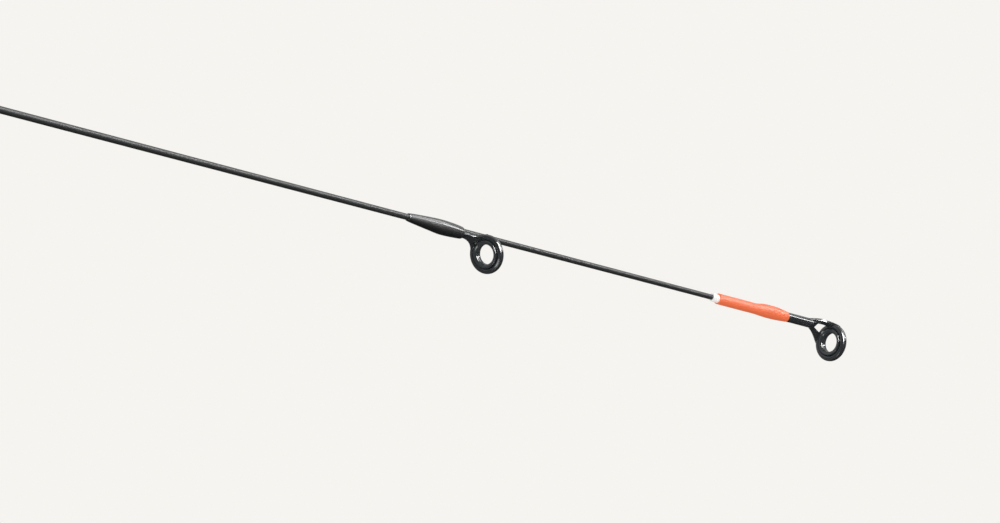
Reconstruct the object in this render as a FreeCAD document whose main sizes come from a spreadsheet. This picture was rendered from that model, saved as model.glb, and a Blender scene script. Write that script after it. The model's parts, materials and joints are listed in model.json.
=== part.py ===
import FreeCAD, Part
import Sketcher
import os

from FreeCAD import Placement, Rotation, Vector

# A 28 inch ice fishing rod, laid along +X from butt to tip, with the guides hanging down (-Z).
# The origin is on the rod's axis, in the middle of the rear grip.

doc = FreeCAD.newDocument("ice_fishing_rod")
sizes = doc.addObject("Spreadsheet::Sheet", "Sizes")

DRIVING = {
    # the whole rod
    "rod_length": 711,
    "tip_to_first": 104,
    "first_to_second": 150,
    "second_to_third": 150,
    # blank: radius at the tip, at each guide, and inside the handle
    "blank_tip_radius": 0.53,
    "blank_first_radius": 0.62,
    "blank_second_radius": 0.74,
    "blank_third_radius": 1.45,
    "blank_butt_radius": 2.1,
    "blank_end_gap": 4,
    # rear grip and butt cap
    "grip_length": 80,
    "grip_radius": 12.5,
    "grip_rounding": 2,
    "cap_length": 5,
    "cap_step": 0.3,
    "cap_rounding": 1.5,
    "plug_length": 6,
    # trim rings between the grips and the seat
    "trim_length": 2,
    "trim_step": 0.4,
    # reel seat
    "seat_length": 100,
    "seat_radius": 9,
    "seat_bore": 6,
    "bed_depth": 1.8,
    "bed_step": 0.2,
    "fixed_hood_length": 20,
    "fixed_hood_wall": 3,
    "pocket_depth": 14,
    "pocket_width": 12,
    "pocket_height": 4.8,
    "hood_wall": 2,
    "hood_lobe_width": 16,
    "lobe_rounding": 4,
    "thread_length": 46,
    "thread_pitch": 2,
    "thread_depth": 0.5,
    "thread_flank": 0.7,
    "thread_root": 0.2,
    "slot_width": 3.2,
    "slot_depth": 0.9,
    "slide_gap": 0.3,
    "key_width": 2.6,
    "key_height": 0.9,
    # moving hood and its nut
    "moving_hood_length": 18,
    "nut_length": 10,
    "nut_wall": 2.6,
    "nut_bore_gap": 0.08,
    "nut_end_gap": 0.3,
    "nut_flutes": 18,
    "flute_radius": 1.1,
    "flute_offset": 0.6,
    # bushings between the blank and the seat
    "bushing_length": 12,
    "bushing_inset": 2,
    # fore grip and winding check
    "fore_length": 45,
    "fore_straight": 16,
    "fore_back_radius": 11.5,
    "fore_front_radius": 7.2,
    "fore_rounding": 1.5,
    "check_length": 5,
    "check_band": 2,
    "check_back_radius": 6.6,
    "check_front_radius": 3.4,
    # hook keeper
    "keeper_gap": 5,
    "keeper_length": 14,
    "keeper_foot": 4,
    "keeper_rise": 3.6,
    "keeper_wire": 1,
    "keeper_wrap_wall": 0.55,
    "keeper_wrap_gap": 0.4,
    # tip-top
    "tip_bore": 4,
    "tip_ring_wall": 0.9,
    "tip_ring_width": 1.8,
    "tip_rim_wall": 1.12,
    "tip_rim_width": 1.4,
    "tip_drop": 4.25,
    "tip_lean": 3.5,
    "tip_plate": 0.6,
    "tip_plate_rise": 0.25,
    "tip_plate_dip": 1,
    "tip_plate_length": 6,
    "tip_shoulder": 4.3,
    "tip_side_wall": 0.25,
    "tip_arm_width": 2,
    "tip_arm_end_width": 2.5,
    "tip_window_back": 2.45,
    "tip_window_front": 0.8,
    "tip_window_back_width": 0.85,
    "tip_window_front_width": 1.5,
    "tube_radius": 1.03,
    "tube_length": 16.3,
    "tube_to_ring": 4.2,
    "tube_cap": 1,
    # tip wrap and trim band
    "tip_wrap_length": 21.4,
    "tip_wrap_radius": 1.15,
    "tip_wrap_bulge": 1.4,
    "tip_wrap_end_radius": 1.1,
    "tip_wrap_to_ring": 12.1,
    "bulge_run": 3.4,
    "bulge_end_run": 3.2,
    "band_length": 1.8,
    "band_radius": 0.9,
}

# Sizes that every guide has, as columns for the first, second and third guide.
GUIDE_SIZES = {
    "bore": (4, 6.4, 9),
    "ring_wall": (0.9, 1, 1.2),
    "ring_width": (1.7, 1.9, 2.2),
    "rim_wall": (1.12, 1.2, 1.4),
    "rim_width": (1.3, 1.4, 1.7),
    "drop": (4.7, 6.9, 12),
    "lean": (17.5, 17.5, 18),
    "plate": (0.6, 0.7, 0.9),
    "leg_run": (4.5, 6.2, 9),
    "foot_length": (14.5, 16, 18.5),
    "foot_width": (1.4, 1.8, 2.4),
    "toe_width": (0.7, 0.8, 1),
    "toe_plate": (0.2, 0.2, 0.25),
    "waist": (0.5, 0.5, 0.5),
    "waist_width": (2.6, 3.4, 4.8),
    "window_back": (2.3, 3.2, 4.8),
    "window_front": (1.5, 2, 2.8),
    "window_width": (1.8, 2.4, 3.2),
    "foot_show": (1, 1.2, 1.5),
    "wrap_length": (14.9, 16.3, 18.5),
    "wrap_wall": (0.14, 0.15, 0.16),
    "wrap_bulge": (0.92, 1.05, 1.25),
    "wrap_sag": (0.36, 0.41, 0.5),
    "wrap_end_wall": (0.62, 0.68, 0.82),
    "wrap_end_sag": (0.48, 0.54, 0.68),
}
GUIDES = ("first", "second", "third")

# Along a guide's wrap: share of its length, of its bulge and of its sag.
WRAP_SWELL = ((0.1, 0.4, 0.1), (0.4, 0.78, 0.55), (0.62, 1, 1), (0.85, 0.82, 1.15))
RIM_SHARE = 0.72    # of a rim's radius: how high up, and how wide, the leg meets it
SEAT_SHARE = 0.7    # of the blank's radius: where a foot is drawn to, before the blank is cut from it
LIP_SHARE = 0.4     # of a leg's plate: how far it stands above the place where it meets the rim
EDGE_SHARE = 0.45   # of a ring's width: the most that the rounding of one edge takes
WALL_SHARE = 0.85   # of a ring's wall: the most that the rounding of one edge takes
NEAR = 0.01         # mm, to tell one edge from another


def fill_sheet():
    rows = dict(DRIVING)
    for name, columns in GUIDE_SIZES.items():
        for guide, number in zip(GUIDES, columns):
            rows[f"{guide}_{name}"] = number
    for row, (name, number) in enumerate(rows.items(), start=1):
        sizes.set(f"A{row}", str(number))
        sizes.setAlias(f"A{row}", name)
    doc.recompute()


# Places along the rod, as formulas on the sheet.
BUTT = "(-Sizes.grip_length / 2)"
SEAT_START = "(Sizes.grip_length / 2 + Sizes.trim_length)"
SEAT_END = f"({SEAT_START} + Sizes.seat_length)"
FORE_START = f"({SEAT_END} + Sizes.trim_length)"
FORE_END = f"({FORE_START} + Sizes.fore_length)"
CHECK_END = f"({FORE_END} + Sizes.check_length)"
TIP_RING = f"({BUTT} - Sizes.cap_length + Sizes.rod_length - Sizes.tip_ring_width / 2)"
FIRST = f"({TIP_RING} - Sizes.tip_to_first)"
SECOND = f"({FIRST} - Sizes.first_to_second)"
THIRD = f"({SECOND} - Sizes.second_to_third)"
PLACES = {"first": FIRST, "second": SECOND, "third": THIRD}
# The next station of the blank's taper towards the butt, and its radius there.
BEHIND = {
    "first": (SECOND, "Sizes.blank_second_radius"),
    "second": (THIRD, "Sizes.blank_third_radius"),
    "third": (CHECK_END, "Sizes.blank_butt_radius"),
}
BLANK_BUTT = f"({BUTT} + Sizes.plug_length + Sizes.blank_end_gap)"
TUBE_END = f"({TIP_RING} - Sizes.tube_to_ring)"
BLANK_END = f"({TUBE_END} - Sizes.tube_cap)"
WRAP_END = f"({TIP_RING} - Sizes.tip_wrap_to_ring)"
WRAP_START = f"({WRAP_END} - Sizes.tip_wrap_length)"
HOOD_END = f"({SEAT_END} - Sizes.nut_length - Sizes.nut_end_gap - Sizes.slide_gap)"
HOOD_START = f"({HOOD_END} - Sizes.moving_hood_length)"
HOOD_MOUTH = f"({SEAT_START} + Sizes.fixed_hood_length)"
THREAD_START = f"({SEAT_END} - Sizes.thread_length)"
BED_LEVEL = "(Sizes.seat_radius - Sizes.bed_depth)"
FLAT_LEVEL = f"({BED_LEVEL} - Sizes.bed_step)"
HOOD_BORE = "(Sizes.seat_radius + Sizes.slide_gap)"
LOBE_LEVEL = f"({BED_LEVEL} + Sizes.pocket_height + Sizes.hood_wall)"

XZ = Rotation(Vector(1, 0, 0), 90)
YZ = Rotation(Vector(0, 1, 0), 90)


def value(formula):
    return float(sizes.evalExpression(formula))


def outline(sketch, corners):
    """A closed outline of straight edges through corners, each a pair of formulas on the sheet."""
    spots = [Vector(value(across), value(up), 0) for across, up in corners]
    first = sketch.GeometryCount
    count = len(spots)
    for n, spot in enumerate(spots):
        sketch.addGeometry(Part.LineSegment(spot, spots[(n + 1) % count]), False)
    for n, (across, up) in enumerate(corners):
        following = first + (n + 1) % count
        sketch.addConstraint(Sketcher.Constraint("Coincident", first + n, 2, following, 1))
        for kind, formula in (("DistanceX", across), ("DistanceY", up)):
            pin = Sketcher.Constraint(kind, -1, 1, first + n, 1, value(formula))
            sketch.setExpression(f"Constraints[{sketch.addConstraint(pin)}]", formula)


def circle(sketch, across, up, radius):
    middle = Vector(value(across), value(up), 0)
    edge = sketch.addGeometry(Part.Circle(middle, Vector(0, 0, 1), value(radius)), False)
    for kind, formula in (("DistanceX", across), ("DistanceY", up)):
        pin = Sketcher.Constraint(kind, -1, 1, edge, 3, value(formula))
        sketch.setExpression(f"Constraints[{sketch.addConstraint(pin)}]", formula)
    pin = Sketcher.Constraint("Radius", edge, value(radius))
    sketch.setExpression(f"Constraints[{sketch.addConstraint(pin)}]", radius)


def body(label):
    made = doc.addObject("PartDesign::Body", label)
    made.Label = label
    return made


def origin_part(owner, role):
    return [feature for feature in owner.Origin.OriginFeatures if feature.Role == role][0]


def sketch_on(owner, role, *outlines):
    sketch = owner.newObject("Sketcher::SketchObject", f"{owner.Label}_sketch")
    sketch.AttachmentSupport = [(origin_part(owner, role), "")]
    sketch.MapMode = "FlatFace"
    for corners in outlines:
        outline(sketch, corners)
    doc.recompute()
    return sketch


def spun(owner, *outlines):
    """Outlines in the body's XZ plane, turned all the way round its X axis."""
    turned = owner.newObject("PartDesign::Revolution", f"{owner.Label}_turned")
    turned.Profile = sketch_on(owner, "XZ_Plane", *outlines)
    turned.ReferenceAxis = (turned.Profile[0], ["H_Axis"])
    turned.Angle = 360
    doc.recompute()
    return turned


def rounded(owner, base, radius, wanted):
    """A fillet on the circular edges of base for which wanted(edge) is true."""
    names = [
        f"Edge{n}" for n, edge in enumerate(base.Shape.Edges, start=1)
        if isinstance(edge.Curve, Part.Circle) and wanted(edge)
    ]
    fillet = owner.newObject("PartDesign::Fillet", f"{owner.Label}_rounding")
    fillet.Base = (base, names)
    fillet.setExpression("Radius", radius)
    doc.recompute()
    return fillet


def boolean(kind, label, *pieces):
    """A Part::Cut or Part::Common of two objects, or a Part::MultiFuse of several."""
    made = doc.addObject(kind, label)
    if kind == "Part::MultiFuse":
        made.Shapes = list(pieces)
    else:
        made.Base, made.Tool = pieces
    made.Label = label
    doc.recompute()
    return made


def carved(label, base, *tools):
    """Cuts the tools from base one after another, and gives the last result the label."""
    for n, tool in enumerate(tools[:-1]):
        base = boolean("Part::Cut", f"{label}_cut_{n}", base, tool)
    return boolean("Part::Cut", label, base, tools[-1])


def block(label, start, length, width, bottom, height):
    """A box centred on the rod's XZ plane."""
    box = doc.addObject("Part::Box", label)
    box.setExpression("Length", length)
    box.setExpression("Width", width)
    box.setExpression("Height", height)
    box.setExpression("Placement.Base.x", start)
    box.setExpression("Placement.Base.y", f"-{width} / 2")
    box.setExpression("Placement.Base.z", bottom)
    doc.recompute()
    return box


def rod_way(label, start, length, radius):
    """A cylinder on the rod's axis, to bore a piece with."""
    way = doc.addObject("Part::Cylinder", label)
    way.setExpression("Radius", radius)
    way.setExpression("Height", length)
    way.Placement = Placement(Vector(0, 0, 0), YZ)
    way.setExpression("Placement.Base.x", start)
    doc.recompute()
    return way


def prism(label, rotation, depth, outlines):
    """Outlines drawn in a plane through the origin, pushed out the same distance both ways."""
    sketch = doc.addObject("Sketcher::SketchObject", f"{label}_sketch")
    sketch.Placement = Placement(Vector(0, 0, 0), rotation)
    for corners in outlines:
        outline(sketch, corners)
    made = doc.addObject("Part::Extrusion", label)
    made.Base = sketch
    made.DirMode = "Normal"
    made.setExpression("LengthFwd", depth)
    made.Symmetric = True
    made.Solid = True
    doc.recompute()
    return made


def placed(piece, along, down, lean):
    """Puts a piece that was made round its own X axis at a ring's centre, leaning with the ring."""
    piece.Placement = Placement(Vector(0, 0, 0), Rotation(Vector(0, -1, 0), value(lean)))
    piece.setExpression("Placement.Base.x", along)
    piece.setExpression("Placement.Base.z", f"-({down})")
    piece.setExpression("Placement.Rotation.Angle", lean)
    doc.recompute()
    return piece


# ---- blank ----

def rod_blank():
    piece = body("rod_blank")
    stations = [
        (CHECK_END, "Sizes.blank_butt_radius"),
        (THIRD, "Sizes.blank_third_radius"),
        (SECOND, "Sizes.blank_second_radius"),
        (FIRST, "Sizes.blank_first_radius"),
        (BLANK_END, "Sizes.blank_tip_radius"),
    ]
    butt = [(BLANK_BUTT, "0"), (BLANK_BUTT, "Sizes.blank_butt_radius")]
    spun(piece, [*butt, *stations, (BLANK_END, "0")])
    return piece


def blank_radius(name, place):
    """The blank's radius at a place on the stretch behind a guide."""
    behind, radius = BEHIND[name]
    near = f"Sizes.blank_{name}_radius"
    return f"({near} + ({radius} - {near}) * ({PLACES[name]} - {place}) / ({PLACES[name]} - {behind}))"


# ---- rings and guides ----

def ceramic_ring(name, label, along):
    """A ring pressed into a rim, with both edges of its bore well rounded for the line."""
    bore = f"(Sizes.{name}_bore / 2)"
    outer = f"({bore} + Sizes.{name}_ring_wall)"
    half = f"(Sizes.{name}_ring_width / 2)"
    piece = body(label)
    ring = spun(piece, [(f"-{half}", bore), (half, bore), (half, outer), (f"-{half}", outer)])
    bore_radius = value(bore)
    limits = f"Sizes.{name}_ring_width * {EDGE_SHARE}; Sizes.{name}_ring_wall * {WALL_SHARE}"
    rounded(piece, ring, f"min({limits})", lambda edge: abs(edge.Curve.Radius - bore_radius) < NEAR)
    return placed(piece, along, f"Sizes.{name}_drop", f"Sizes.{name}_lean")


def rim(name, along):
    """The round part of a guide frame that holds the ceramic ring."""
    inner = f"(Sizes.{name}_bore / 2 + Sizes.{name}_ring_wall)"
    outer = f"({inner} + Sizes.{name}_rim_wall)"
    half = f"(Sizes.{name}_rim_width / 2)"
    piece = body(f"{name}_rim")
    ring = spun(piece, [(f"-{half}", inner), (half, inner), (half, outer), (f"-{half}", outer)])
    outer_radius = value(outer)
    limits = f"Sizes.{name}_rim_width * {EDGE_SHARE}; Sizes.{name}_rim_wall * {WALL_SHARE}"
    rounded(piece, ring, f"min({limits})", lambda edge: abs(edge.Curve.Radius - outer_radius) < NEAR)
    return placed(piece, along, f"Sizes.{name}_drop", f"Sizes.{name}_lean")


def line_path(name, along):
    """The round way through a rim, kept clear of the leg on both sides of the ring."""
    way = doc.addObject("Part::Cylinder", f"{name}_line_path")
    way.setExpression("Radius", f"Sizes.{name}_bore / 2 + Sizes.{name}_ring_wall")
    way.setExpression("Height", f"Sizes.{name}_drop * 2")
    way.Placement = Placement(Vector(0, 0, 0), YZ)
    way.setExpression("Placement.Rotation.Angle", f"90 - Sizes.{name}_lean")
    way.setExpression("Placement.Base.x", f"{along} - Sizes.{name}_drop * cos(Sizes.{name}_lean * 1deg)")
    way.setExpression("Placement.Base.z", f"-Sizes.{name}_drop * (1 + sin(Sizes.{name}_lean * 1deg))")
    doc.recompute()
    return way


def frame(name, label, along, side, plans, fitted):
    """A stamped frame: a leg of the given side view and plan, and its rim, cut to fit on a piece."""
    deep = f"Sizes.{name}_drop * 4"
    leg_side = prism(f"{name}_leg_side", XZ, deep, [side])
    leg_plan = prism(f"{name}_leg_plan", Rotation(), deep, plans)
    leg = boolean("Part::Common", f"{name}_leg", leg_side, leg_plan)
    open_leg = boolean("Part::Cut", f"{name}_open_leg", leg, line_path(name, along))
    whole = boolean("Part::MultiFuse", f"{name}_whole", open_leg, rim(name, along))
    return boolean("Part::Cut", label, whole, fitted)


def guide_frame(name, along, blank):
    """Foot under the blank, leg plate sloping down to the rim's upper part, and the rim."""
    rim_radius = f"(Sizes.{name}_bore / 2 + Sizes.{name}_ring_wall + Sizes.{name}_rim_wall)"
    lean = f"tan(Sizes.{name}_lean * 1deg)"
    toe = f"({along} - Sizes.{name}_leg_run - Sizes.{name}_foot_length)"
    neck = f"({along} - Sizes.{name}_leg_run)"
    joint = f"({along} - {rim_radius} * {RIM_SHARE} * {lean})"
    waist = f"({neck} + ({joint} - {neck}) * Sizes.{name}_waist)"
    seat = f"-Sizes.blank_{name}_radius * {SEAT_SHARE}"
    at_toe, at_neck = blank_radius(name, toe), blank_radius(name, neck)
    joint_level = f"(-Sizes.{name}_drop + {rim_radius} * {RIM_SHARE})"
    plate = f"Sizes.{name}_plate"
    side = [
        (toe, seat),
        (toe, f"-({at_toe} + Sizes.{name}_toe_plate)"),
        (neck, f"-({at_neck} + {plate})"),
        (joint, f"({joint_level} - {plate})"),
        (joint, f"({joint_level} + {plate} * {LIP_SHARE})"),
        (f"({neck} + {plate})", seat),
    ]
    foot = f"(Sizes.{name}_foot_width / 2)"
    toe_side = f"(Sizes.{name}_toe_width / 2)"
    middle = f"(Sizes.{name}_waist_width / 2)"
    flare = f"({rim_radius} * {RIM_SHARE})"
    plan = [
        (toe, f"-{toe_side}"), (neck, f"-{foot}"), (waist, f"-{middle}"), (joint, f"-{flare}"),
        (joint, flare), (waist, middle), (neck, foot), (toe, toe_side),
    ]
    back = f"({along} - Sizes.{name}_window_back)"
    front = f"({along} - Sizes.{name}_window_front)"
    half = f"(Sizes.{name}_window_width / 2)"
    slit = [(back, f"-{half}"), (front, f"-{half}"), (front, half), (back, half)]
    return frame(name, f"{name}_guide_frame", along, side, [plan, slit], blank)


def guide_wrap(name, along, blank, foot):
    """Thread and epoxy over a foot: round sections that swell and sag over the foot's end."""
    start = f"({along} - Sizes.{name}_leg_run - Sizes.{name}_foot_show - Sizes.{name}_wrap_length)"
    swell = [
        (share, f"Sizes.{name}_wrap_bulge * {wall}", f"Sizes.{name}_wrap_sag * {low}")
        for share, wall, low in WRAP_SWELL
    ]
    sections = [
        (0, f"Sizes.{name}_wrap_wall", "0"),
        *swell,
        (1, f"Sizes.{name}_wrap_end_wall", f"Sizes.{name}_wrap_end_sag"),
    ]
    rings = []
    for n, (share, wall, low) in enumerate(sections):
        place = f"({start} + Sizes.{name}_wrap_length * {share})"
        ring = doc.addObject("Part::Circle", f"{name}_wrap_section_{n}")
        ring.Placement = Placement(Vector(0, 0, 0), YZ)
        ring.setExpression("Radius", f"{blank_radius(name, place)} + {wall}")
        ring.setExpression("Placement.Base.x", place)
        ring.setExpression("Placement.Base.z", f"-({low})")
        rings.append(ring)
    solid = doc.addObject("Part::Loft", f"{name}_wrap_solid")
    solid.Sections = rings
    solid.Solid = True
    doc.recompute()
    return carved(f"{name}_guide_wrap", solid, foot, blank)


def guide(name, blank):
    along = PLACES[name]
    steel = guide_frame(name, along, blank)
    ring = ceramic_ring(name, f"{name}_guide_ring", along)
    return [steel, ring, guide_wrap(name, along, blank, steel)]


# ---- tip ----

def tip_top_tube(blank):
    """Tube over the blank's tip, closed at its front end."""
    solid = body("tip_tube_solid")
    back = f"({TUBE_END} - Sizes.tube_length)"
    spun(solid, [(back, "0"), (back, "Sizes.tube_radius"), (TUBE_END, "Sizes.tube_radius"), (TUBE_END, "0")])
    return boolean("Part::Cut", "tip_top_tube", solid, blank), solid


def tip_top_frame(tube_solid):
    """Plate brazed to the tube's sides: a web past its end, two arms that drop to the rim, and the rim."""
    root = f"({TIP_RING} - Sizes.tip_plate_length)"
    shoulder = f"({TIP_RING} - Sizes.tip_shoulder)"
    back = f"({TIP_RING} - Sizes.tip_window_back)"
    top = "Sizes.tip_plate_rise"
    low = f"({top} - Sizes.tip_plate)"
    side = [
        (root, top), (root, low), (back, low), (TIP_RING, f"({low} - Sizes.tip_plate_dip)"),
        (TIP_RING, f"({top} - Sizes.tip_plate_dip)"), (back, top),
    ]
    narrow = "(Sizes.tube_radius + Sizes.tip_side_wall)"
    wide, end = "Sizes.tip_arm_width", "Sizes.tip_arm_end_width"
    plan = [
        (root, f"-{narrow}"), (shoulder, f"-{narrow}"), (back, f"-{wide}"), (TIP_RING, f"-{end}"),
        (TIP_RING, end), (back, wide), (shoulder, narrow), (root, narrow),
    ]
    front = f"({TIP_RING} - Sizes.tip_window_front)"
    window = [
        (back, "-Sizes.tip_window_back_width"), (front, "-Sizes.tip_window_front_width"),
        (front, "Sizes.tip_window_front_width"), (back, "Sizes.tip_window_back_width"),
    ]
    return frame("tip", "tip_top_frame", TIP_RING, side, [plan, window], tube_solid)


def tip_wrap(blank, tube_solid):
    """Even wrap on the blank that swells over the tube and closes down at its front end."""
    tube_back = f"({TUBE_END} - Sizes.tube_length)"
    solid = body("tip_wrap_solid")
    spun(solid, [
        (WRAP_START, "0"),
        (WRAP_START, "Sizes.tip_wrap_radius"),
        (f"({tube_back} - Sizes.bulge_run / 2)", "Sizes.tip_wrap_radius"),
        (f"({tube_back} + Sizes.bulge_run / 2)", "Sizes.tip_wrap_bulge"),
        (f"({WRAP_END} - Sizes.bulge_end_run)", "Sizes.tip_wrap_bulge"),
        (WRAP_END, "Sizes.tip_wrap_end_radius"),
        (WRAP_END, "0"),
    ])
    return carved("tip_wrap", solid, tube_solid, blank)


def tip_trim_band(blank):
    solid = body("tip_band_solid")
    back = f"({WRAP_START} - Sizes.band_length)"
    outer = "Sizes.band_radius"
    spun(solid, [(back, "0"), (back, outer), (WRAP_START, outer), (WRAP_START, "0")])
    return boolean("Part::Cut", "tip_trim_band", solid, blank)


# ---- handle ----

def rear_grip():
    piece = body("rear_grip")
    front = "(Sizes.grip_length / 2)"
    bore = "Sizes.blank_butt_radius"
    outer = "Sizes.grip_radius"
    tube = spun(piece, [(BUTT, bore), (BUTT, outer), (front, outer), (front, bore)])
    outer_radius = value(outer)
    rounded(piece, tube, "Sizes.grip_rounding", lambda edge: abs(edge.Curve.Radius - outer_radius) < NEAR)
    return piece


def butt_cap():
    """Rubber cap with a plug that fills the end of the grip's bore."""
    piece = body("butt_cap")
    back = f"({BUTT} - Sizes.cap_length)"
    outer = "(Sizes.grip_radius - Sizes.cap_step)"
    plug = f"({BUTT} + Sizes.plug_length)"
    cap = spun(piece, [
        (back, "0"), (back, outer), (BUTT, outer), (BUTT, "Sizes.blank_butt_radius"),
        (plug, "Sizes.blank_butt_radius"), (plug, "0"),
    ])
    rear = value(back)
    rounded(piece, cap, "Sizes.cap_rounding", lambda edge: edge.CenterOfMass.x < rear + NEAR)
    return piece


def trim_ring(label, start, radius):
    piece = body(label)
    end = f"({start} + Sizes.trim_length)"
    bore = "Sizes.blank_butt_radius"
    outer = f"({radius} - Sizes.trim_step)"
    spun(piece, [(start, bore), (start, outer), (end, outer), (end, bore)])
    return piece


def threaded_tube():
    """The barrel as it is turned: the fixed hood's cone, the tube, and the ridges of its thread."""
    piece = body("threaded_tube")
    radius = "Sizes.seat_radius"
    spun(piece, [
        (SEAT_START, "Sizes.seat_bore"),
        (SEAT_START, f"({radius} + Sizes.fixed_hood_wall)"),
        (HOOD_MOUTH, f"({radius} + Sizes.hood_wall)"),
        (HOOD_MOUTH, radius),
        (SEAT_END, radius),
        (SEAT_END, "Sizes.seat_bore"),
    ])
    crest = f"({radius} + {NEAR})"
    root = f"({radius} - Sizes.thread_depth)"
    flank_end = f"({THREAD_START} + Sizes.thread_flank)"
    root_end = f"({flank_end} + Sizes.thread_root)"
    groove = piece.newObject("PartDesign::Groove", "thread_groove")
    groove.Profile = sketch_on(piece, "XZ_Plane", [
        (THREAD_START, crest), (flank_end, root),
        (root_end, root), (f"({root_end} + Sizes.thread_flank)", crest),
    ])
    groove.ReferenceAxis = (groove.Profile[0], ["H_Axis"])
    groove.Angle = 360
    doc.recompute()
    turns = piece.newObject("PartDesign::LinearPattern", "thread_grooves")
    turns.Originals = [groove]
    turns.Direction = (origin_part(piece, "X_Axis"), [""])
    count = "floor(Sizes.thread_length / Sizes.thread_pitch)"
    turns.setExpression("Occurrences", count)
    turns.setExpression("Length", f"({count} - 1) * Sizes.thread_pitch")
    piece.Tip = turns
    doc.recompute()
    return piece


def seat_barrel():
    """Barrel with a fixed hood, a flat bed for the reel's foot, and a slot for the moving hood's key."""
    lobe = hood_lobe("fixed_hood_lobe", SEAT_START, "Sizes.fixed_hood_length")
    lobed = boolean("Part::MultiFuse", "seat_with_lobe", threaded_tube(), lobe)
    deep = "Sizes.seat_radius"
    width = "(Sizes.seat_radius * 2)"
    past_hood = f"({SEAT_END} - {HOOD_MOUTH})"
    pocket_start = f"({HOOD_MOUTH} - Sizes.pocket_depth)"
    return carved(
        "seat_barrel", lobed,
        rod_way("seat_bore_way", SEAT_START, "Sizes.fixed_hood_length", "Sizes.seat_bore"),
        foot_pocket("fixed_hood_pocket", pocket_start),
        block("foot_bed", HOOD_MOUTH, past_hood, width, f"-{BED_LEVEL} - {deep}", deep),
        block("thread_flat", THREAD_START, "Sizes.thread_length", width, f"-{FLAT_LEVEL} - {deep}", deep),
        block("key_slot", HOOD_MOUTH, past_hood, "Sizes.slot_width", f"{deep} - Sizes.slot_depth", deep),
    )


def hood_lobe(label, start, length):
    """The block over a hood's pocket, with its long lower edges rounded."""
    box = block(f"{label}_box", start, length, "Sizes.hood_lobe_width", f"-{LOBE_LEVEL}", LOBE_LEVEL)
    low = box.Shape.BoundBox.ZMin
    soft = doc.addObject("Part::Fillet", label)
    soft.Base = box
    rounding = value("Sizes.lobe_rounding")
    soft.Edges = [
        (n, rounding, rounding) for n, edge in enumerate(box.Shape.Edges, start=1)
        if edge.BoundBox.ZMax < low + NEAR and edge.BoundBox.XLength > NEAR
    ]
    doc.recompute()
    return soft


def foot_pocket(label, start):
    """The space under a hood that takes one end of the reel's foot."""
    bottom = f"-{BED_LEVEL} - Sizes.pocket_height"
    height = "(Sizes.pocket_height + Sizes.bed_step)"
    return block(label, start, "Sizes.pocket_depth", "Sizes.pocket_width", bottom, height)


def moving_hood():
    """Sleeve round the barrel with a key in its slot and a lobe over the foot bed."""
    length = "Sizes.moving_hood_length"
    shell = body("moving_hood_shell")
    outer = f"({HOOD_BORE} + Sizes.hood_wall)"
    spun(shell, [(HOOD_START, "0"), (HOOD_START, outer), (HOOD_END, outer), (HOOD_END, "0")])
    solid = boolean("Part::MultiFuse", "moving_hood_solid", shell,
                    hood_lobe("moving_hood_lobe", HOOD_START, length))
    open_hood = carved(
        "moving_hood_open", solid,
        rod_way("moving_hood_bore", HOOD_START, length, HOOD_BORE),
        foot_pocket("moving_hood_pocket", HOOD_START),
    )
    key = block("hood_key", HOOD_START, length, "Sizes.key_width", f"{HOOD_BORE} - Sizes.key_height",
                "Sizes.key_height + Sizes.hood_wall / 2")
    return boolean("Part::MultiFuse", "moving_hood", open_hood, key)


def lock_nut():
    """Fluted nut in front of the moving hood, bored to run on the barrel's thread."""
    piece = body("lock_nut")
    start = f"({HOOD_END} + Sizes.nut_end_gap)"
    end = f"({start} + Sizes.nut_length)"
    bore = "(Sizes.seat_radius + Sizes.nut_bore_gap)"
    outer = "(Sizes.seat_radius + Sizes.nut_wall)"
    ring = spun(piece, [(start, bore), (start, outer), (end, outer), (end, bore)])
    flute = piece.newObject("PartDesign::Pocket", "flute")
    sketch = piece.newObject("Sketcher::SketchObject", "flute_sketch")
    sketch.AttachmentSupport = [(origin_part(piece, "YZ_Plane"), "")]
    sketch.MapMode = "FlatFace"
    circle(sketch, "0", f"({outer} + Sizes.flute_offset)", "Sizes.flute_radius")
    flute.Profile = sketch
    flute.Type = "ThroughAll"
    flute.Midplane = True
    doc.recompute()
    if not piece.Shape.Volume < ring.Shape.Volume:
        raise RuntimeError("the first flute of lock_nut cuts nothing")
    flutes = piece.newObject("PartDesign::PolarPattern", "flutes")
    flutes.Originals = [flute]
    flutes.Axis = (origin_part(piece, "X_Axis"), [""])
    flutes.Angle = 360
    flutes.setExpression("Occurrences", "Sizes.nut_flutes")
    piece.Tip = flutes
    doc.recompute()
    return piece


def bushing(label, start):
    piece = body(label)
    end = f"({start} + Sizes.bushing_length)"
    bore, outer = "Sizes.blank_butt_radius", "Sizes.seat_bore"
    spun(piece, [(start, bore), (start, outer), (end, outer), (end, bore)])
    return piece


def fore_grip():
    piece = body("fore_grip")
    bore = "Sizes.blank_butt_radius"
    cone = spun(piece, [
        (FORE_START, bore),
        (FORE_START, "Sizes.fore_back_radius"),
        (f"({FORE_START} + Sizes.fore_straight)", "Sizes.fore_back_radius"),
        (FORE_END, "Sizes.fore_front_radius"),
        (FORE_END, bore),
    ])
    ends = (value("Sizes.fore_back_radius"), value("Sizes.fore_front_radius"))
    faces = (value(FORE_START), value(FORE_END))
    rounded(piece, cone, "Sizes.fore_rounding", lambda edge: any(
        abs(edge.Curve.Radius - radius) < NEAR and abs(edge.CenterOfMass.x - face) < NEAR
        for radius, face in zip(ends, faces)))
    return piece


def winding_check():
    piece = body("winding_check")
    bore = "Sizes.blank_butt_radius"
    spun(piece, [
        (FORE_END, bore),
        (FORE_END, "Sizes.check_back_radius"),
        (f"({FORE_END} + Sizes.check_band)", "Sizes.check_back_radius"),
        (CHECK_END, "Sizes.check_front_radius"),
        (CHECK_END, bore),
    ])
    return piece


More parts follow.
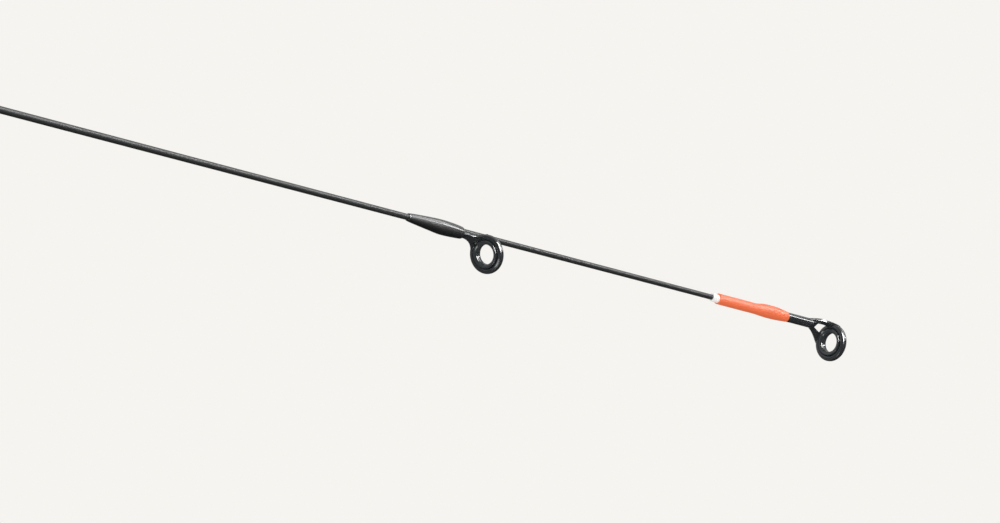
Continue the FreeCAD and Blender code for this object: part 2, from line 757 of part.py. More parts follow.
def hook_keeper(blank):
    """Small bent keeper with two feet on the blank, above it, for the hook's bend."""
    back = f"({CHECK_END} + Sizes.keeper_gap)"
    front = f"({back} + Sizes.keeper_length)"
    inner_back = f"({back} + Sizes.keeper_foot)"
    inner_front = f"({front} - Sizes.keeper_foot)"
    wire = "Sizes.keeper_wire"
    seat = f"(Sizes.blank_butt_radius * {SEAT_SHARE})"
    foot = f"(Sizes.blank_butt_radius + {wire})"
    crown = "(Sizes.blank_butt_radius + Sizes.keeper_rise)"
    solid = prism("hook_keeper_solid", XZ, wire, [[
        (back, seat), (front, seat), (front, foot), (inner_front, foot),
        (f"({inner_front} - {wire})", crown), (f"({inner_back} + {wire})", crown),
        (inner_back, foot), (back, foot),
    ], [
        (f"({inner_back} + {wire})", foot), (f"({inner_back} + {wire} * 2)", f"({crown} - {wire})"),
        (f"({inner_front} - {wire} * 2)", f"({crown} - {wire})"), (f"({inner_front} - {wire})", foot),
    ]])
    return boolean("Part::Cut", "hook_keeper", solid, blank)


def hook_keeper_wrap(blank, keeper):
    """Two short wraps, one over each foot of the keeper."""
    wall = "(Sizes.blank_butt_radius + Sizes.keeper_wire + Sizes.keeper_wrap_wall)"
    back = f"({CHECK_END} + Sizes.keeper_gap)"
    length = "(Sizes.keeper_foot - Sizes.keeper_wrap_gap)"
    front = f"({back} + Sizes.keeper_length - {length})"
    wraps = []
    for label, start in (("keeper_back_wrap", back), ("keeper_front_wrap", front)):
        piece = body(label)
        end = f"({start} + {length})"
        spun(piece, [(start, "0"), (start, wall), (end, wall), (end, "0")])
        wraps.append(piece)
    both = boolean("Part::MultiFuse", "keeper_wraps", *wraps)
    return carved("hook_keeper_wrap", both, keeper, blank)


def check(pieces):
    for thing in doc.Objects:
        if "Invalid" in thing.State or "Error" in thing.State:
            raise RuntimeError(f"{thing.Name} failed: {thing.State}")
    for node, piece in pieces.items():
        if piece.Shape.isNull() or not piece.Shape.isValid() or not piece.Shape.Solids:
            raise RuntimeError(f"{node} has no valid solid")


def main():
    fill_sheet()
    blank = rod_blank()
    tube, tube_solid = tip_top_tube(blank)
    keeper = hook_keeper(blank)
    made = [
        blank,
        tube,
        tip_top_frame(tube_solid),
        ceramic_ring("tip", "tip_top_ring", TIP_RING),
        tip_wrap(blank, tube_solid),
        tip_trim_band(blank),
        *guide("first", blank),
        *guide("second", blank),
        *guide("third", blank),
        keeper,
        hook_keeper_wrap(blank, keeper),
        winding_check(),
        fore_grip(),
        trim_ring("front_trim_ring", SEAT_END, "Sizes.fore_back_radius"),
        trim_ring("rear_trim_ring", "(Sizes.grip_length / 2)", "Sizes.grip_radius"),
        seat_barrel(),
        bushing("seat_rear_bushing", f"({SEAT_START} + Sizes.bushing_inset)"),
        bushing("seat_front_bushing", f"({SEAT_END} - Sizes.bushing_length - Sizes.bushing_inset)"),
        moving_hood(),
        lock_nut(),
        rear_grip(),
        butt_cap(),
    ]
    pieces = {piece.Label: piece for piece in made}
    doc.recompute()
    check(pieces)
    os.makedirs("parts", exist_ok=True)
    for node, piece in pieces.items():
        piece.Shape.exportStep(f"parts/{node}.step")
        print(f"{node:24s} {len(piece.Shape.Solids)} solid, {piece.Shape.Volume:10.2f} mm3")


main()
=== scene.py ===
import json
import math

import bmesh
import bpy
from mathutils import Matrix, Vector


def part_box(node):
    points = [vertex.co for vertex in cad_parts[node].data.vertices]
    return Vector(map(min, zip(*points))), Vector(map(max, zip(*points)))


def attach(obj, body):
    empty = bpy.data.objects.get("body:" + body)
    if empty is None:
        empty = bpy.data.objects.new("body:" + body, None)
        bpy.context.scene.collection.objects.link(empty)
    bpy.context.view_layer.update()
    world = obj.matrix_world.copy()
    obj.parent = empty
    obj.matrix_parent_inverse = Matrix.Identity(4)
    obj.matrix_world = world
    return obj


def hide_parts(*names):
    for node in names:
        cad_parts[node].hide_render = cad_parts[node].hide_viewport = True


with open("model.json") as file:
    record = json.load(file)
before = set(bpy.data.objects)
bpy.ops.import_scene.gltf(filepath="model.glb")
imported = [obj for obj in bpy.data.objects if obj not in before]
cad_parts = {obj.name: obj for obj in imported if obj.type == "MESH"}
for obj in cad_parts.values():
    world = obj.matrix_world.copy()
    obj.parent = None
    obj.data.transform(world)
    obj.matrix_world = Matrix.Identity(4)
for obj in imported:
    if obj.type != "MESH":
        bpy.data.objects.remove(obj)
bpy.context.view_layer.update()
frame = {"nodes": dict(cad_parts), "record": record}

mm = 0.001


# colours, nodes and materials
def hexColour(text, alpha=1.0):
    # sRGB hex to the linear values that sockets hold
    channels = [int(text[n:n + 2], 16) / 255 for n in (0, 2, 4)]
    linear = [c / 12.92 if c <= 0.04045 else ((c + 0.055) / 1.055) ** 2.4 for c in channels]
    return (*linear, alpha)


def addNode(tree, kind, settings=None, links=None):
    # settings are inputs by name or number, or else properties; links go from an output socket to an input
    node = tree.nodes.new(kind)
    for name, setting in (settings or {}).items():
        if isinstance(name, int) or name in node.inputs:
            node.inputs[name].default_value = setting
        else:
            setattr(node, name, setting)
    for name, source in (links or {}).items():
        tree.links.new(source, node.inputs[name])
    return node


def newMaterial(name, settings):
    # a Principled material; what drives its sockets is linked by the finish that needs it
    material = bpy.data.materials.new(name)
    material.use_nodes = True
    tree = material.node_tree
    tree.nodes.clear()
    shader = addNode(tree, "ShaderNodeBsdfPrincipled", settings)
    addNode(tree, "ShaderNodeOutputMaterial", links={"Surface": shader.outputs["BSDF"]})
    return material, tree, shader


def twoTone(low, high):
    # settings of a colour mix, which has its colours in inputs 6 and 7 and its result in output 2
    return {"data_type": "RGBA", 6: hexColour(low), 7: hexColour(high)}


def objectMapping(tree, scale=(1, 1, 1)):
    place = addNode(tree, "ShaderNodeTexCoord")
    mapping = addNode(tree, "ShaderNodeMapping", {"Scale": scale}, {"Vector": place.outputs["Object"]})
    return mapping.outputs["Vector"]


graphite = dict(dark="1f2122", light="2c2e2f", streakLength=14 * mm, streakWidth=0.12 * mm)


def satinGraphite():
    # solid graphite and glass, ground and clear coated: satin dark grey, with faint streaks along the blank
    # that stand for bundles of fibres, because single fibres are too fine to show
    material, tree, shader = newMaterial("satinGraphiteBlank", {
        "Roughness": 0.42, "Coat Weight": 0.15, "Coat Roughness": 0.3, "IOR": 1.5,
    })
    scale = (1 / graphite["streakLength"], 1 / graphite["streakWidth"], 1 / graphite["streakWidth"])
    fibres = addNode(tree, "ShaderNodeTexNoise", {"Scale": 1.0, "Detail": 3.0},
                     {"Vector": objectMapping(tree, scale)})
    tone = addNode(tree, "ShaderNodeMix", twoTone(graphite["dark"], graphite["light"]),
                   {0: fibres.outputs["Fac"]})
    tree.links.new(tone.outputs[2], shader.inputs["Base Color"])
    bump = addNode(tree, "ShaderNodeBump", {"Strength": 0.04, "Distance": 0.01 * mm},
                   {"Height": fibres.outputs["Fac"]})
    tree.links.new(bump.outputs["Normal"], shader.inputs["Normal"])
    return material


def coatedSteel():
    # stamped stainless steel under a hard black coating: deep gloss with a slight orange peel
    material, tree, shader = newMaterial("blackCoatedSteel", {
        "Base Color": hexColour("303437"), "Roughness": 0.24, "IOR": 1.55,
        "Coat Weight": 1.0, "Coat Roughness": 0.14,
    })
    peel = addNode(tree, "ShaderNodeTexNoise", {"Scale": 1 / (0.7 * mm), "Detail": 2.0},
                   {"Vector": objectMapping(tree)})
    bump = addNode(tree, "ShaderNodeBump", {"Strength": 0.03, "Distance": 0.02 * mm},
                   {"Height": peel.outputs["Fac"]})
    tree.links.new(bump.outputs["Normal"], shader.inputs["Normal"])
    return material


def blackCeramic():
    # sintered and polished ring ceramic: the sharpest reflections on the rod
    material, tree, shader = newMaterial("polishedBlackCeramic", {
        "Base Color": hexColour("3a3e41"), "Roughness": 0.09, "IOR": 1.77,
    })
    cloud = addNode(tree, "ShaderNodeTexNoise", {"Scale": 1 / (0.5 * mm), "Detail": 4.0},
                    {"Vector": objectMapping(tree)})
    spread = addNode(tree, "ShaderNodeMapRange", {"To Min": 0.06, "To Max": 0.14},
                     {"Value": cloud.outputs["Fac"]})
    tree.links.new(spread.outputs["Result"], shader.inputs["Roughness"])
    return material


thread = dict(pitch=0.3 * mm)   # real turns are 0.15 to 0.2 mm apart, too fine to show
waveUnit = math.tau / 20        # a wave texture has one band to this length


def threadUnderEpoxy(name, low, high, coatRoughness=0.06, coatWeight=1.0):
    # wound thread in rod-finishing epoxy: fine turns round the blank under a clear glossy skin
    material, tree, shader = newMaterial(name, {
        "Roughness": 0.5, "IOR": 1.52,
        "Coat Weight": coatWeight, "Coat Roughness": coatRoughness, "Coat IOR": 1.5,
    })
    turns = addNode(tree, "ShaderNodeTexWave", {
        "wave_type": "BANDS", "bands_direction": "X", "Scale": 1.0, "Distortion": 0.6, "Detail": 1.0,
    }, {"Vector": objectMapping(tree, (waveUnit / thread["pitch"],) * 3)})
    tone = addNode(tree, "ShaderNodeMix", twoTone(low, high), {0: turns.outputs["Fac"]})
    tree.links.new(tone.outputs[2], shader.inputs["Base Color"])
    bump = addNode(tree, "ShaderNodeBump", {"Strength": 0.35, "Distance": 0.03 * mm},
                   {"Height": turns.outputs["Fac"]})
    tree.links.new(bump.outputs["Normal"], shader.inputs["Normal"])
    return material


foam = dict(cell=0.9 * mm, dark="151617", light="222425", fleck="34373a")


def closedCellFoam():
    # EVA foam, ground to shape: matt black with small torn cells and a few paler flecks
    material, tree, shader = newMaterial("blackEvaFoam", {
        "Roughness": 0.88, "IOR": 1.48, "Specular IOR Level": 0.3,
        "Sheen Weight": 0.12, "Sheen Roughness": 0.5,
    })
    place = objectMapping(tree, (1 / foam["cell"],) * 3)
    cells = addNode(tree, "ShaderNodeTexVoronoi", {"Scale": 1.0, "Randomness": 1.0}, {"Vector": place})
    cloud = addNode(tree, "ShaderNodeTexNoise", {"Scale": 2.2, "Detail": 4.0}, {"Vector": place})
    skin = addNode(tree, "ShaderNodeMix", twoTone(foam["dark"], foam["light"]), {0: cloud.outputs["Fac"]})
    rare = addNode(tree, "ShaderNodeMapRange", {"From Min": 0.66, "From Max": 0.74},
                   {"Value": cloud.outputs["Fac"]})
    flecks = addNode(tree, "ShaderNodeMix", {"data_type": "RGBA", 7: hexColour(foam["fleck"])},
                     {0: rare.outputs["Result"], 6: skin.outputs[2]})
    tree.links.new(flecks.outputs[2], shader.inputs["Base Color"])
    coarse = addNode(tree, "ShaderNodeBump", {"Strength": 0.5, "Distance": 0.12 * mm},
                     {"Height": cells.outputs["Distance"]})
    fine = addNode(tree, "ShaderNodeBump", {"Strength": 0.4, "Distance": 0.05 * mm},
                   {"Height": cloud.outputs["Fac"], "Normal": coarse.outputs["Normal"]})
    tree.links.new(fine.outputs["Normal"], shader.inputs["Normal"])
    return material


def mouldedNylon(name, low, high, roughness):
    # glass and graphite filled nylon from an eroded mould: satin dark grey with a fine even grain
    material, tree, shader = newMaterial(name, {"Roughness": roughness, "IOR": 1.53})
    grain = addNode(tree, "ShaderNodeTexNoise", {"Scale": 1.0, "Detail": 3.0},
                    {"Vector": objectMapping(tree, (1 / (0.35 * mm),) * 3)})
    tone = addNode(tree, "ShaderNodeMix", twoTone(low, high), {0: grain.outputs["Fac"]})
    tree.links.new(tone.outputs[2], shader.inputs["Base Color"])
    spread = addNode(tree, "ShaderNodeMapRange", {"To Min": roughness - 0.08, "To Max": roughness + 0.1},
                     {"Value": grain.outputs["Fac"]})
    tree.links.new(spread.outputs["Result"], shader.inputs["Roughness"])
    bump = addNode(tree, "ShaderNodeBump", {"Strength": 0.25, "Distance": 0.03 * mm},
                   {"Height": grain.outputs["Fac"]})
    tree.links.new(bump.outputs["Normal"], shader.inputs["Normal"])
    return material


def anodisedAluminium():
    # turned and dyed aluminium: satin orange metal with fine tool lines round the axis
    material, tree, shader = newMaterial("orangeAnodisedAluminium", {
        "Metallic": 1.0, "Roughness": 0.28, "Base Color": hexColour("e2622c"), "Anisotropic": 0.4,
    })
    lines = addNode(tree, "ShaderNodeTexNoise", {"Scale": 1.0, "Detail": 2.0},
                    {"Vector": objectMapping(tree, (1 / (0.08 * mm), 1 / (6 * mm), 1 / (6 * mm)))})
    tone = addNode(tree, "ShaderNodeMix", twoTone("d4561f", "ee7440"), {0: lines.outputs["Fac"]})
    tree.links.new(tone.outputs[2], shader.inputs["Base Color"])
    spread = addNode(tree, "ShaderNodeMapRange", {"To Min": 0.2, "To Max": 0.38},
                     {"Value": lines.outputs["Fac"]})
    tree.links.new(spread.outputs["Result"], shader.inputs["Roughness"])
    bump = addNode(tree, "ShaderNodeBump", {"Strength": 0.15, "Distance": 0.01 * mm},
                   {"Height": lines.outputs["Fac"]})
    tree.links.new(bump.outputs["Normal"], shader.inputs["Normal"])
    return material


def vulcanisedFibre():
    # pressed paper fibre, turned: pale tan with layers round the axis
    material, tree, shader = newMaterial("tanVulcanisedFibre", {"Roughness": 0.8, "IOR": 1.5})
    layers = addNode(tree, "ShaderNodeTexNoise", {"Scale": 1.0, "Detail": 4.0},
                     {"Vector": objectMapping(tree, (1 / (0.5 * mm), 1 / (2 * mm), 1 / (2 * mm)))})
    tone = addNode(tree, "ShaderNodeMix", twoTone("b9a98b", "d6cbb2"), {0: layers.outputs["Fac"]})
    tree.links.new(tone.outputs[2], shader.inputs["Base Color"])
    return material


def mouldedRubber():
    # soft black rubber, moulded: dull, with a fine stipple and slightly greyed high spots
    material, tree, shader = newMaterial("blackMouldedRubber", {
        "Roughness": 0.72, "IOR": 1.52, "Specular IOR Level": 0.4,
    })
    stipple = addNode(tree, "ShaderNodeTexNoise", {"Scale": 1.0, "Detail": 2.0},
                      {"Vector": objectMapping(tree, (1 / (0.5 * mm),) * 3)})
    tone = addNode(tree, "ShaderNodeMix", twoTone("131314", "212223"), {0: stipple.outputs["Fac"]})
    tree.links.new(tone.outputs[2], shader.inputs["Base Color"])
    bump = addNode(tree, "ShaderNodeBump", {"Strength": 0.4, "Distance": 0.05 * mm},
                   {"Height": stipple.outputs["Fac"]})
    tree.links.new(bump.outputs["Normal"], shader.inputs["Normal"])
    return material


graphiteMaterial = satinGraphite()
steelMaterial = coatedSteel()
ceramicMaterial = blackCeramic()
blackWrapMaterial = threadUnderEpoxy("blackThreadUnderEpoxy", "0d0f10", "17191b")
orangeWrapMaterial = threadUnderEpoxy("orangeThreadUnderEpoxy", "f05a24", "ff7a3a", 0.4, 0.35)
whiteThreadMaterial = threadUnderEpoxy("whiteThreadUnderEpoxy", "f4f4f2", "ffffff", 0.3, 0.5)
print("materials made")

slotMaterials = {
    "blank": graphiteMaterial, "frame_steel": steelMaterial, "ceramic": ceramicMaterial,
    "black_wrap": blackWrapMaterial, "orange_wrap": orangeWrapMaterial, "white_thread": whiteThreadMaterial,
    "foam": closedCellFoam(), "seat": mouldedNylon("graphiteFilledNylon", "1a1b1c", "27292a", 0.42),
    "nut": mouldedNylon("blackGlassFilledNylon", "1c1d1e", "242627", 0.34), "trim": anodisedAluminium(),
    "bushing": vulcanisedFibre(), "rubber": mouldedRubber(),
}
for entry in frame["record"]["subparts"]:
    node = frame["nodes"][entry["node"]]
    if entry["material_slot"] in slotMaterials:
        for slot in node.material_slots:
            slot.material = slotMaterials[entry["material_slot"]]


# mesh helpers: a bmesh is in millimetres until meshObject turns it to metres
mergeDistance = 0.0005   # mm


def spanOf(node):
    # where it starts and ends along the rod
    low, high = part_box(node)
    return low.x / mm, high.x / mm


def middleOf(node):
    low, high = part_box(node)
    return (low + high) / 2 / mm


def profileWire(points, closed=False):
    # a wire in the XZ plane; a third number on a point is the radius that rounds it
    bm = bmesh.new()
    verts = [bm.verts.new((point[0], 0, point[1])) for point in points]
    for first, second in zip(verts, verts[1:]):
        bm.edges.new((first, second))
    if closed:
        bm.edges.new((verts[-1], verts[0]))
    for vert, point in zip(verts, points):
        if len(point) == 3:
            bmesh.ops.bevel(bm, geom=[vert], offset=point[2], offset_type="OFFSET", affect="VERTICES",
                            segments=5, profile=0.5, material=-1)
    return bm


def spun(points, closed=False, steps=64):
    # the wire turned all the way round the X axis
    bm = profileWire(points, closed)
    bmesh.ops.spin(bm, geom=bm.verts[:] + bm.edges[:], axis=(1, 0, 0), cent=(0, 0, 0), angle=math.tau,
                   steps=steps, use_merge=True)
    bmesh.ops.remove_doubles(bm, verts=bm.verts[:], dist=mergeDistance)
    bmesh.ops.recalc_face_normals(bm, faces=bm.faces[:])
    return bm


def lofted(sections):
    # closed outlines with equally many points, bridged one to the next and capped
    bm = bmesh.new()
    loops = []
    for points in sections:
        verts = [bm.verts.new(point) for point in points]
        loops.append([bm.edges.new((vert, verts[(n + 1) % len(verts)])) for n, vert in enumerate(verts)])
    for first, second in zip(loops, loops[1:]):
        bmesh.ops.bridge_loops(bm, edges=first + second)
    bmesh.ops.holes_fill(bm, edges=loops[0] + loops[-1], sides=0)
    bmesh.ops.recalc_face_normals(bm, faces=bm.faces[:])
    return bm


def addTo(bm, other, matrix=None):
    # copies another bmesh into this one, moved by a matrix
    if matrix is not None:
        bmesh.ops.transform(other, matrix=matrix, verts=other.verts[:])
    mesh = bpy.data.meshes.new("part")
    other.to_mesh(mesh)
    other.free()
    bm.from_mesh(mesh)
    bpy.data.meshes.remove(mesh)
    return bm


def leaning(place, lean):
    # from a ring's own axis, along X, to its place on the rod
    return Matrix.Translation(place) @ Matrix.Rotation(math.radians(-lean), 4, "Y")


def meshObject(bm, name):
    bmesh.ops.scale(bm, vec=(mm, mm, mm), verts=bm.verts[:])
    mesh = bpy.data.meshes.new(name)
    bm.to_mesh(mesh)
    bm.free()
    piece = bpy.data.objects.new(name, mesh)
    bpy.context.scene.collection.objects.link(piece)
    return piece


def settleModifiers(piece):
    # replaces the mesh by what the modifiers make of it
    depsgraph = bpy.context.evaluated_depsgraph_get()
    made = bpy.data.meshes.new_from_object(piece.evaluated_get(depsgraph))
    old = piece.data
    piece.modifiers.clear()
    piece.data = made
    bpy.data.meshes.remove(old)


def finishPiece(piece, body, slot, nodes, sharpAngle=50):
    piece.data.materials.clear()
    piece.data.materials.append(slotMaterials[slot])
    piece.data.polygons.foreach_set("use_smooth", [True] * len(piece.data.polygons))
    piece.data.set_sharp_from_angle(angle=math.radians(sharpAngle))
    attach(piece, body)
    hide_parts(*nodes)
    return piece


def curved(stations, count):
    # more stations on a Catmull-Rom curve through the given ones, count to each gap
    ends = [stations[0], *stations, stations[-1]]
    made = [stations[0]]
    for before, first, second, after in zip(ends, ends[1:], ends[2:], ends[3:]):
        for n in range(1, count + 1):
            t = n / count
            made.append(tuple(
                (2 * q + (r - p) * t + (2 * p - 5 * q + 4 * r - w) * t ** 2
                 + (3 * q - p - 3 * r + w) * t ** 3) / 2
                for p, q, r, w in zip(before, first, second, after)))
    return made


def stackedRounds(stations, steps=64):
    # round sections (along, radius, level), bridged one to the next and capped
    sections = []
    for along, radius, level in stations:
        sections.append([(along, radius * math.sin(turn), radius * math.cos(turn) + level)
                         for turn in (math.tau * n / steps for n in range(steps))])
    return lofted(sections)


# blank
blankSizes = dict(butt=2.1, third=1.45, second=0.74, first=0.62, tip=0.53, endRounding=0.15)   # radii, mm


def taperPlaces():
    # where the blank's radii are given, besides its tip: at the winding check and at each guide's ring
    rings = [middleOf(f"{name}_guide_ring").x for name in ("third", "second", "first")]
    return [spanOf("winding_check")[1], *rings]


def blankRadius(along):
    places = [*taperPlaces(), spanOf("rod_blank")[1]]
    radii = [blankSizes[name] for name in ("butt", "third", "second", "first", "tip")]
    for n in range(len(places) - 1):
        if along <= places[n + 1]:
            share = max(0, (along - places[n]) / (places[n + 1] - places[n]))
            return radii[n] + (radii[n + 1] - radii[n]) * share
    return radii[-1]


def makeBlank():
    start, end = spanOf("rod_blank")
    rounding = blankSizes["endRounding"]
    wire = [(start, 0), (start, blankSizes["butt"], rounding)]
    wire += [(place, blankRadius(place)) for place in taperPlaces()]
    wire += [(end, blankSizes["tip"], rounding), (end, 0)]
    finishPiece(meshObject(spun(wire, steps=48), "blank"), "rod", "blank", ["rod_blank"])


makeBlank()
print("blank made")


# guides: what differs between them, and what they share
guideSizes = {
    "first": dict(bore=4, ringWall=0.9, ringWidth=1.7, rimWall=1.12, rimWidth=1.3, drop=4.7, lean=17.5,
                  plate=0.6, legRun=4.5, footLength=14.5, footWidth=1.4, toeWidth=0.7, wrapWall=0.16,
                  wrapBulge=0.92, wrapSag=0.36, endWall=0.62, endSag=0.48, voxel=0.06,
                  slitWidth=1.7, slitBack=2.2, slitFront=1.5),
    "second": dict(bore=6.4, ringWall=1, ringWidth=1.9, rimWall=1.2, rimWidth=1.4, drop=6.9, lean=17.5,
                   plate=0.7, legRun=6.2, footLength=16, footWidth=1.8, toeWidth=0.8, wrapWall=0.17,
                   wrapBulge=1.05, wrapSag=0.41, endWall=0.68, endSag=0.54, voxel=0.08,
                   slitWidth=2.4, slitBack=3.1, slitFront=2.1),
    "third": dict(bore=9, ringWall=1.2, ringWidth=2.2, rimWall=1.4, rimWidth=1.7, drop=12, lean=18,
                  plate=0.9, legRun=9, footLength=18.5, footWidth=2.4, toeWidth=1, wrapWall=0.18,
                  wrapBulge=1.25, wrapSag=0.5, endWall=0.82, endSag=0.68, voxel=0.11,
                  slitWidth=3.2, slitBack=4.7, slitFront=3),
}
ringShape = dict(softWidth=0.42, softWall=0.6, shoulder=0.14)
rimShape = dict(seatInset=0.24, seatRounding=0.05, lipRun=0.36, lipRounding=0.14, dip=0.1, dipRounding=0.12,
                edgeStep=0.24, edgeRounding=0.16, rollShare=0.45, rollRounding=0.26, boreGap=0.05)
legShape = dict(flare=2.2, joinShare=0.72, stations=9, toeGap=0.05, toeThickness=0.25,
                crown=0.5, crownPower=3, smoothing=6)
wrapShape = dict(
    # share of the length, share of the bulge, share of the sag
    swell=((0.1, 0.38, 0.1), (0.4, 0.78, 0.55), (0.62, 1, 1), (0.85, 0.88, 1.15)),
    edge=0.16, edgeShare=0.3, gap=0.01,
)


def ringProfile(sizes):
    # polished insert: a well-rounded bore, and a shoulder that stands proud of the rim
    inner = sizes["bore"] / 2
    outer = inner + sizes["ringWall"]
    half = sizes["ringWidth"] / 2
    soft = min(sizes["ringWidth"] * ringShape["softWidth"], sizes["ringWall"] * ringShape["softWall"])
    shoulder = ringShape["shoulder"]
    return [(-half, inner, soft), (half, inner, soft), (half, outer - shoulder / 2, shoulder), (0, outer),
            (-half, outer - shoulder / 2, shoulder)]


def rimProfile(sizes):
    # pressed rim: a lip that slopes down to the insert, a shallow dip, and a rolled outer edge
    shape = rimShape
    inner = sizes["bore"] / 2 + sizes["ringWall"]
    outer = inner + sizes["rimWall"]
    half = sizes["rimWidth"] / 2
    lip = inner + shape["lipRun"]
    dip = shape["dip"]
    front = [
        (half - shape["seatInset"], inner, shape["seatRounding"]), (half, lip, shape["lipRounding"]),
        (half - dip, (lip + outer) / 2, shape["dipRounding"]),
        (half - dip / 2, outer - shape["edgeStep"], shape["edgeRounding"]),
        (half * shape["rollShare"], outer, shape["rollRounding"]),
    ]
    return front + [(-point[0], *point[1:]) for point in reversed(front)]


def makeRing(name, node, sizes):
    bm = spun(ringProfile(sizes), closed=True, steps=96)
    bmesh.ops.transform(bm, matrix=leaning(middleOf(node), sizes["lean"]), verts=bm.verts[:])
    finishPiece(meshObject(bm, name), "rod", "ceramic", [node])


def booleanWith(piece, bm, operation):
    # cuts away or adds what another bmesh encloses
    other = meshObject(bm, f"{piece.name}Tool")
    step = piece.modifiers.new(operation.lower(), "BOOLEAN")
    step.operation = operation
    step.object = other
    step.solver = "MANIFOLD"
    settleModifiers(piece)
    bpy.data.meshes.remove(other.data)


def fuseFrame(bm, name, node, sizes, centre, slit=None):
    # the leg's parts become one tumbled skin, which is bored for the insert and joined to its rim
    piece = meshObject(bm, name)
    remesh = piece.modifiers.new("fuse", "REMESH")
    remesh.mode = "VOXEL"
    remesh.voxel_size = sizes["voxel"] * mm
    smooth = piece.modifiers.new("tumbled", "SMOOTH")
    smooth.factor = 0.5
    smooth.iterations = legShape["smoothing"]
    settleModifiers(piece)
    turned = leaning(centre, sizes["lean"])
    radius = sizes["bore"] / 2 + sizes["ringWall"] + rimShape["boreGap"]
    seat = bmesh.new()
    bmesh.ops.create_cone(seat, cap_ends=True, segments=96, radius1=radius, radius2=radius,
                          depth=sizes["drop"] * 2, matrix=turned @ Matrix.Rotation(math.pi / 2, 4, "Y"))
    booleanWith(piece, seat, "DIFFERENCE")
    if slit is not None:
        booleanWith(piece, slit, "DIFFERENCE")
    rim = spun(rimProfile(sizes), closed=True, steps=128)
    bmesh.ops.transform(rim, matrix=turned, verts=rim.verts[:])
    booleanWith(piece, rim, "UNION")
    finishPiece(piece, "rod", "frame_steel", [node])


def legSection(along, halfWidth, level, thickness, droop):
    # a thin crowned section of the leg: three points above, three below
    top, low = level + thickness / 2, level - thickness / 2
    return [(along, -halfWidth, top - droop), (along, 0, top), (along, halfWidth, top - droop),
            (along, halfWidth, low - droop), (along, 0, low), (along, -halfWidth, low - droop)]


def makeGuideFrame(name):
    # foot and leg, from a thin toe on the blank to where the leg meets the rim
    sizes, shape = guideSizes[name], legShape
    centre = middleOf(f"{name}_guide_ring")
    rimRadius = sizes["bore"] / 2 + sizes["ringWall"] + sizes["rimWall"]
    share = shape["joinShare"]
    neck = centre.x - sizes["legRun"]
    joint = centre.x - rimRadius * share * math.tan(math.radians(sizes["lean"]))
    toe = neck - sizes["footLength"]
    plate = sizes["plate"]
    jointLevel = centre.z + rimRadius * share
    neckLevel = -(blankRadius(neck) + plate / 2)
    toeLevel = -(blankRadius(toe) + shape["toeGap"])
    foot = [
        legSection(toe, sizes["toeWidth"] / 2, toeLevel, shape["toeThickness"], 0),
        legSection(neck - plate, sizes["footWidth"] / 2, neckLevel, plate, 0),
    ]
    leg = []
    for n in range(shape["stations"]):
        part = n / (shape["stations"] - 1)
        halfWidth = sizes["footWidth"] / 2
        halfWidth += (rimRadius * share - halfWidth) * part ** shape["flare"]
        level = neckLevel + (jointLevel - neckLevel) * part
        droop = plate * shape["crown"] * part ** shape["crownPower"]
        leg.append(legSection(neck + (joint - neck) * part, halfWidth, level, plate, droop))
    bm = lofted(foot + leg)
    slit = bmesh.new()
    middle = centre.x - (sizes["slitBack"] + sizes["slitFront"]) / 2
    size = (sizes["slitBack"] - sizes["slitFront"], sizes["slitWidth"], sizes["drop"])
    bmesh.ops.create_cube(slit, size=1, matrix=Matrix.Translation((middle, 0, jointLevel))
                          @ Matrix.Diagonal((*size, 1)))
    fuseFrame(bm, f"{name}GuideFrame", f"{name}_guide_frame", sizes, centre, slit)


def makeGuideWrap(name):
    # thread over the foot, bound and coated: it swells over the foot, sags under it and ends in a soft step
    sizes = guideSizes[name]
    start, end = spanOf(f"{name}_guide_wrap")
    run = end - start
    bulge, sag = sizes["wrapBulge"], sizes["wrapSag"]
    walls = [(start, sizes["wrapWall"], 0)]
    walls += [(start + run * share, bulge * wall, sag * low) for share, wall, low in wrapShape["swell"]]
    walls.append((start + run, sizes["endWall"], sizes["endSag"]))
    stations = [(along, blankRadius(along) + wall, -low) for along, wall, low in curved(walls, count=6)]
    edge = wrapShape["edge"]
    step = edge * wrapShape["edgeShare"]
    first, last = stations[0], stations[-1]
    stations[0] = (start + step, first[1] - step, 0)
    stations.insert(0, (start, blankRadius(start) + wrapShape["gap"], 0))
    stations[-1] = (end - edge, *last[1:])
    stations += [(end - step, last[1] - step, last[2]), (end, last[1] - edge, last[2])]
    bm = stackedRounds(stations)
    finishPiece(meshObject(bm, f"{name}GuideWrap"), "rod", "black_wrap", [f"{name}_guide_wrap"])


for guideName in guideSizes:
    makeRing(f"{guideName}GuideRing", f"{guideName}_guide_ring", guideSizes[guideName])
    makeGuideFrame(guideName)
    makeGuideWrap(guideName)
    print(guideName, "guide made")


# tip
tipSizes = dict(bore=4, ringWall=0.9, ringWidth=1.8, rimWall=1.12, rimWidth=1.4, drop=4.25, lean=3.5,
                voxel=0.055)
armSizes = dict(
    thickness=0.6,
    # web past the tube's end: along from the ring, half width
    web=((-4.7, 0.7), (-3.7, 0.85), (-2.8, 0.8)),
    # one arm: along from the ring, inner edge (across, level), outer edge (across, level)
    stations=((-5.6, 0.75, 0, 1.17, 0), (-4.5, 0.7, 0.2, 1.22, 0.26), (-3.8, 0.6, 0.15, 1.38, 0.26),
              (-3.0, 0.62, 0.05, 1.74, 0.06), (-2.3, 0.85, -0.08, 2.1, -0.3), (-1.4, 1.15, -0.4, 2.6, -1.0),
              (-0.6, 1.35, -0.8, 3.2, -1.9), (0.1, 1.6, -1.1, 3.65, -2.8)),
    gapStations=3,
)


